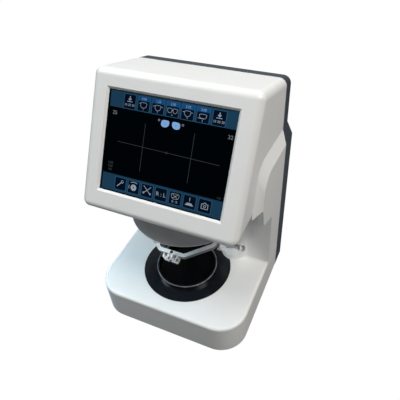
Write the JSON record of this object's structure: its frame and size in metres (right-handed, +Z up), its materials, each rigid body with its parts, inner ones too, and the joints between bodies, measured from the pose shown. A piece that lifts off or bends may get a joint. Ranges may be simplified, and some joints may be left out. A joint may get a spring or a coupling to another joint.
{
  "type": "optical lens blocker",
  "caption": "Tabletop lens centring and blocking unit: tilted touch screen over a camera hood, swinging yoke with a block chuck, and a round lit lens table with a raised ring.",
  "frame": {"origin": "on the table under the middle of the body, between the feet", "axes": "+X to the unit's right side as seen by a user in front, +Y to its back, +Z up"},
  "size_m": [0.228, 0.2134, 0.3604],
  "materials": {
    "shell_light": "satin moulded plastic",
    "cover_slate": "fine matte dark slate plastic",
    "hood_grey": "satin grey plastic",
    "table_black": "polished black plastic",
    "ring_black": "black plastic with a pale rim",
    "window_dark": "dark tinted glass",
    "screen_glass": "clear polished glass",
    "panel_black": "dark display face",
    "board_green": "solder resist",
    "board_white": "white solder resist",
    "diffuser_milky": "milky translucent plastic",
    "sheet_steel": "zinc plated sheet",
    "bright_steel": "ground steel",
    "alloy": "machined alloy",
    "yoke_steel": "satin steel bar",
    "chrome": "polished chrome",
    "bronze": "plain bearing bronze",
    "motor_black": "black enamel",
    "lens_black": "black anodised look",
    "fitting_black": "fine matte black plastic",
    "rubber": "soft black rubber"
  },
  "bodies": {
    "root": {"base_housing": "shell_light", "column_housing": "shell_light", "head_housing": "shell_light", "rear_cover": "cover_slate", "camera_hood": "hood_grey", "table_disc": "table_black", "support_ring": "ring_black", "table_window": "window_dark", "touch_glass": "screen_glass", "display_panel": "panel_black", "main_board": "board_green", "control_board": "board_green", "light_board": "board_white", "ring_light_board": "board_white", "ring_light_diffuser": "diffuser_milky", "light_box": "fitting_black", "base_plate": "sheet_steel", "display_carrier": "sheet_steel", "power_supply": "sheet_steel", "motor_bridge": "sheet_steel", "camera_mount": "alloy", "guide_rods": "bright_steel", "screw_bearing": "bronze", "lift_motor": "motor_black", "camera_body": "motor_black", "camera_lens": "lens_black", "rubber_feet": "rubber", "cover_screws": "bright_steel", "power_inlet": "fitting_black", "switch_body": "fitting_black", "data_ports": "bright_steel", "fan_frame": "fitting_black"},
    "screw": {"lead_screw": "bright_steel", "screw_coupler": "alloy", "motor_shaft": "bright_steel"},
    "carriage": {"lift_carriage": "alloy", "carriage_bushes": "bronze", "lift_nut": "bronze", "hanger_right": "sheet_steel", "hanger_left": "sheet_steel", "swing_motor": "motor_black", "swing_belt": "rubber"},
    "drive_wheel": {"drive_pulley": "alloy"},
    "arm": {"yoke": "yoke_steel", "pivot_pins": "bright_steel", "pin_collar": "chrome", "block_chuck": "chrome", "chuck_screw": "fitting_black", "arm_pulley": "alloy"},
    "rocker": {"power_rocker": "fitting_black"},
    "fan": {"fan_rotor": "fitting_black"}
  },
  "joints": [
    {"name": "arm_lift", "type": "slide", "parent": "root", "child": "carriage", "axis": [0, 0, -1], "range_m": [0, 0.012]},
    {"name": "arm_swing", "type": "hinge", "parent": "carriage", "child": "arm", "pos_m": [0, -0.01925, 0.136], "axis": [1, 0, 0], "range_deg": [0, 71.2]},
    {"name": "screw_turn", "type": "hinge", "parent": "root", "child": "screw", "pos_m": [0, 0.02575, 0.25], "axis": [0, 0, 1], "range_deg": [-5, 1090]},
    {"name": "drive_wheel_turn", "type": "hinge", "parent": "carriage", "child": "drive_wheel", "pos_m": [-0.0629, 0.00175, 0.258], "axis": [1, 0, 0], "range_deg": [-1, 72.2]},
    {"name": "rocker_tip", "type": "hinge", "parent": "root", "child": "rocker", "pos_m": [-0.01, 0.08825, 0.038], "axis": [1, 0, 0], "range_deg": [0, 14]},
    {"name": "fan_spin", "type": "hinge", "parent": "root", "child": "fan", "pos_m": [0, 0.09425, 0.218], "axis": [0, 1, 0], "continuous": true}
  ],
  "couplings": [
    {"joint": "screw_turn", "follows": "arm_lift", "rad_per_m": 1570.8},
    {"joint": "drive_wheel_turn", "follows": "arm_swing", "ratio": 1}
  ]
}
